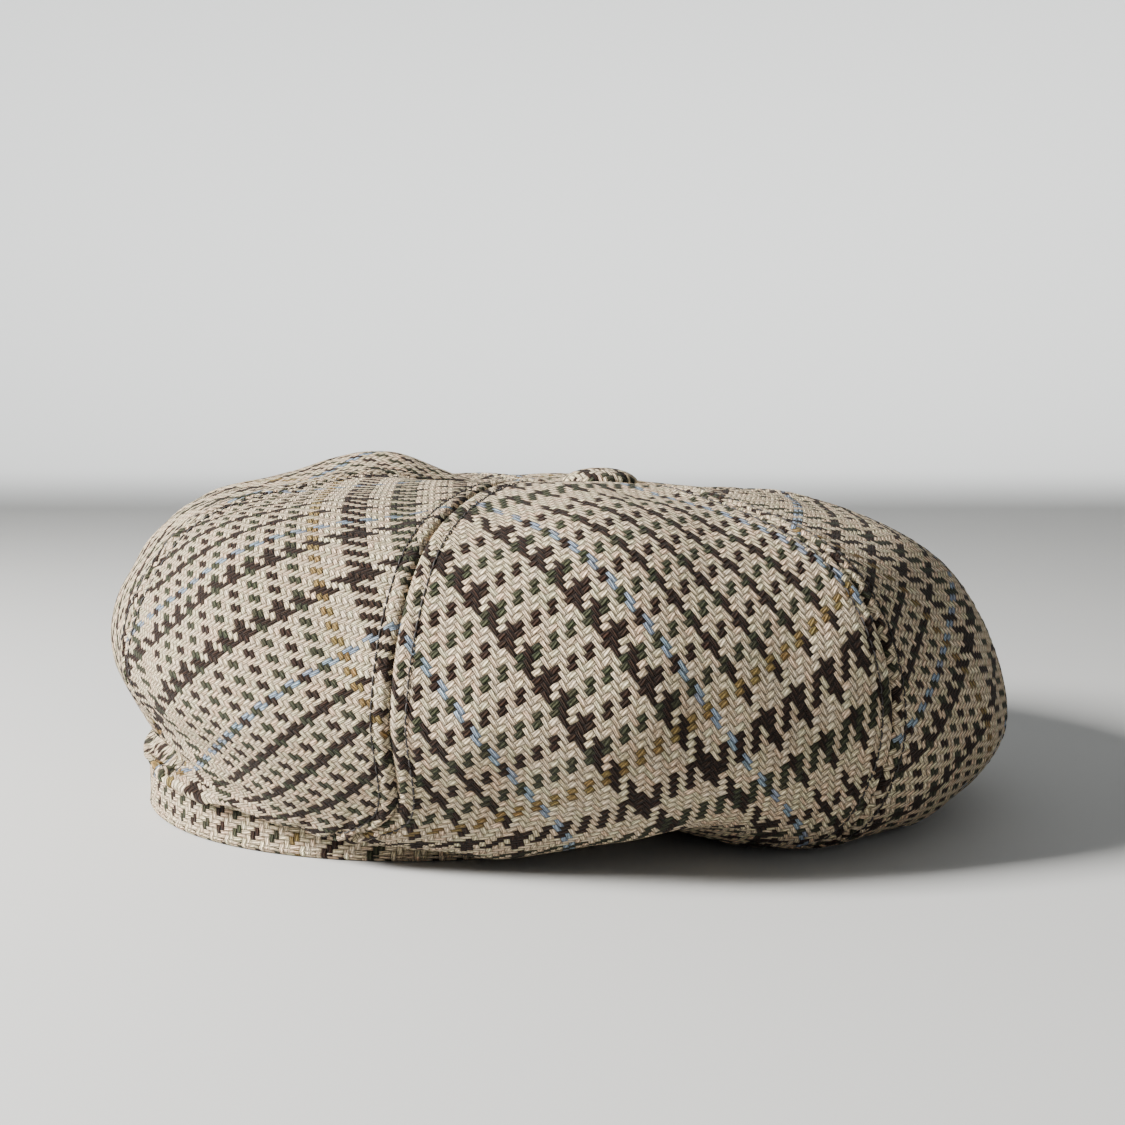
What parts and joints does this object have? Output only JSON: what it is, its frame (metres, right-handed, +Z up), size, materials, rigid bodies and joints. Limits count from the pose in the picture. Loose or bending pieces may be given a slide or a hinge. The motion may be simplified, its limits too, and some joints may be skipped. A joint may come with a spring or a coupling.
{
  "type": "tam o shanter",
  "caption": "Full, soft, slouched tweed cap of sewn gores with a straight headband and a covered top button, hollow inside.",
  "frame": {"origin": "where the cap rests, under the middle of its outline as seen from above", "axes": "+Z up from the surface it rests on, +X towards the side that the crown slouches over, +Y towards the back as the picture shows it"},
  "size_m": [0.28, 0.2732, 0.1084],
  "materials": {
    "crown_tweed": "checked wool tweed in cream, brown, green, mustard and pale blue, twill woven, hairy and matt",
    "band_tweed": "the crown's tweed, folded along the headband with its check parallel to the edge",
    "button_tweed": "the crown's tweed, gathered over a round button"
  },
  "bodies": {
    "root": {"crown_gore_1": "crown_tweed", "crown_gore_2": "crown_tweed", "crown_gore_3": "crown_tweed", "crown_gore_4": "crown_tweed", "crown_gore_5": "crown_tweed", "crown_gore_6": "crown_tweed", "crown_gore_7": "crown_tweed", "crown_gore_8": "crown_tweed", "headband": "band_tweed", "crown_button": "button_tweed"}
  },
  "joints": []
}
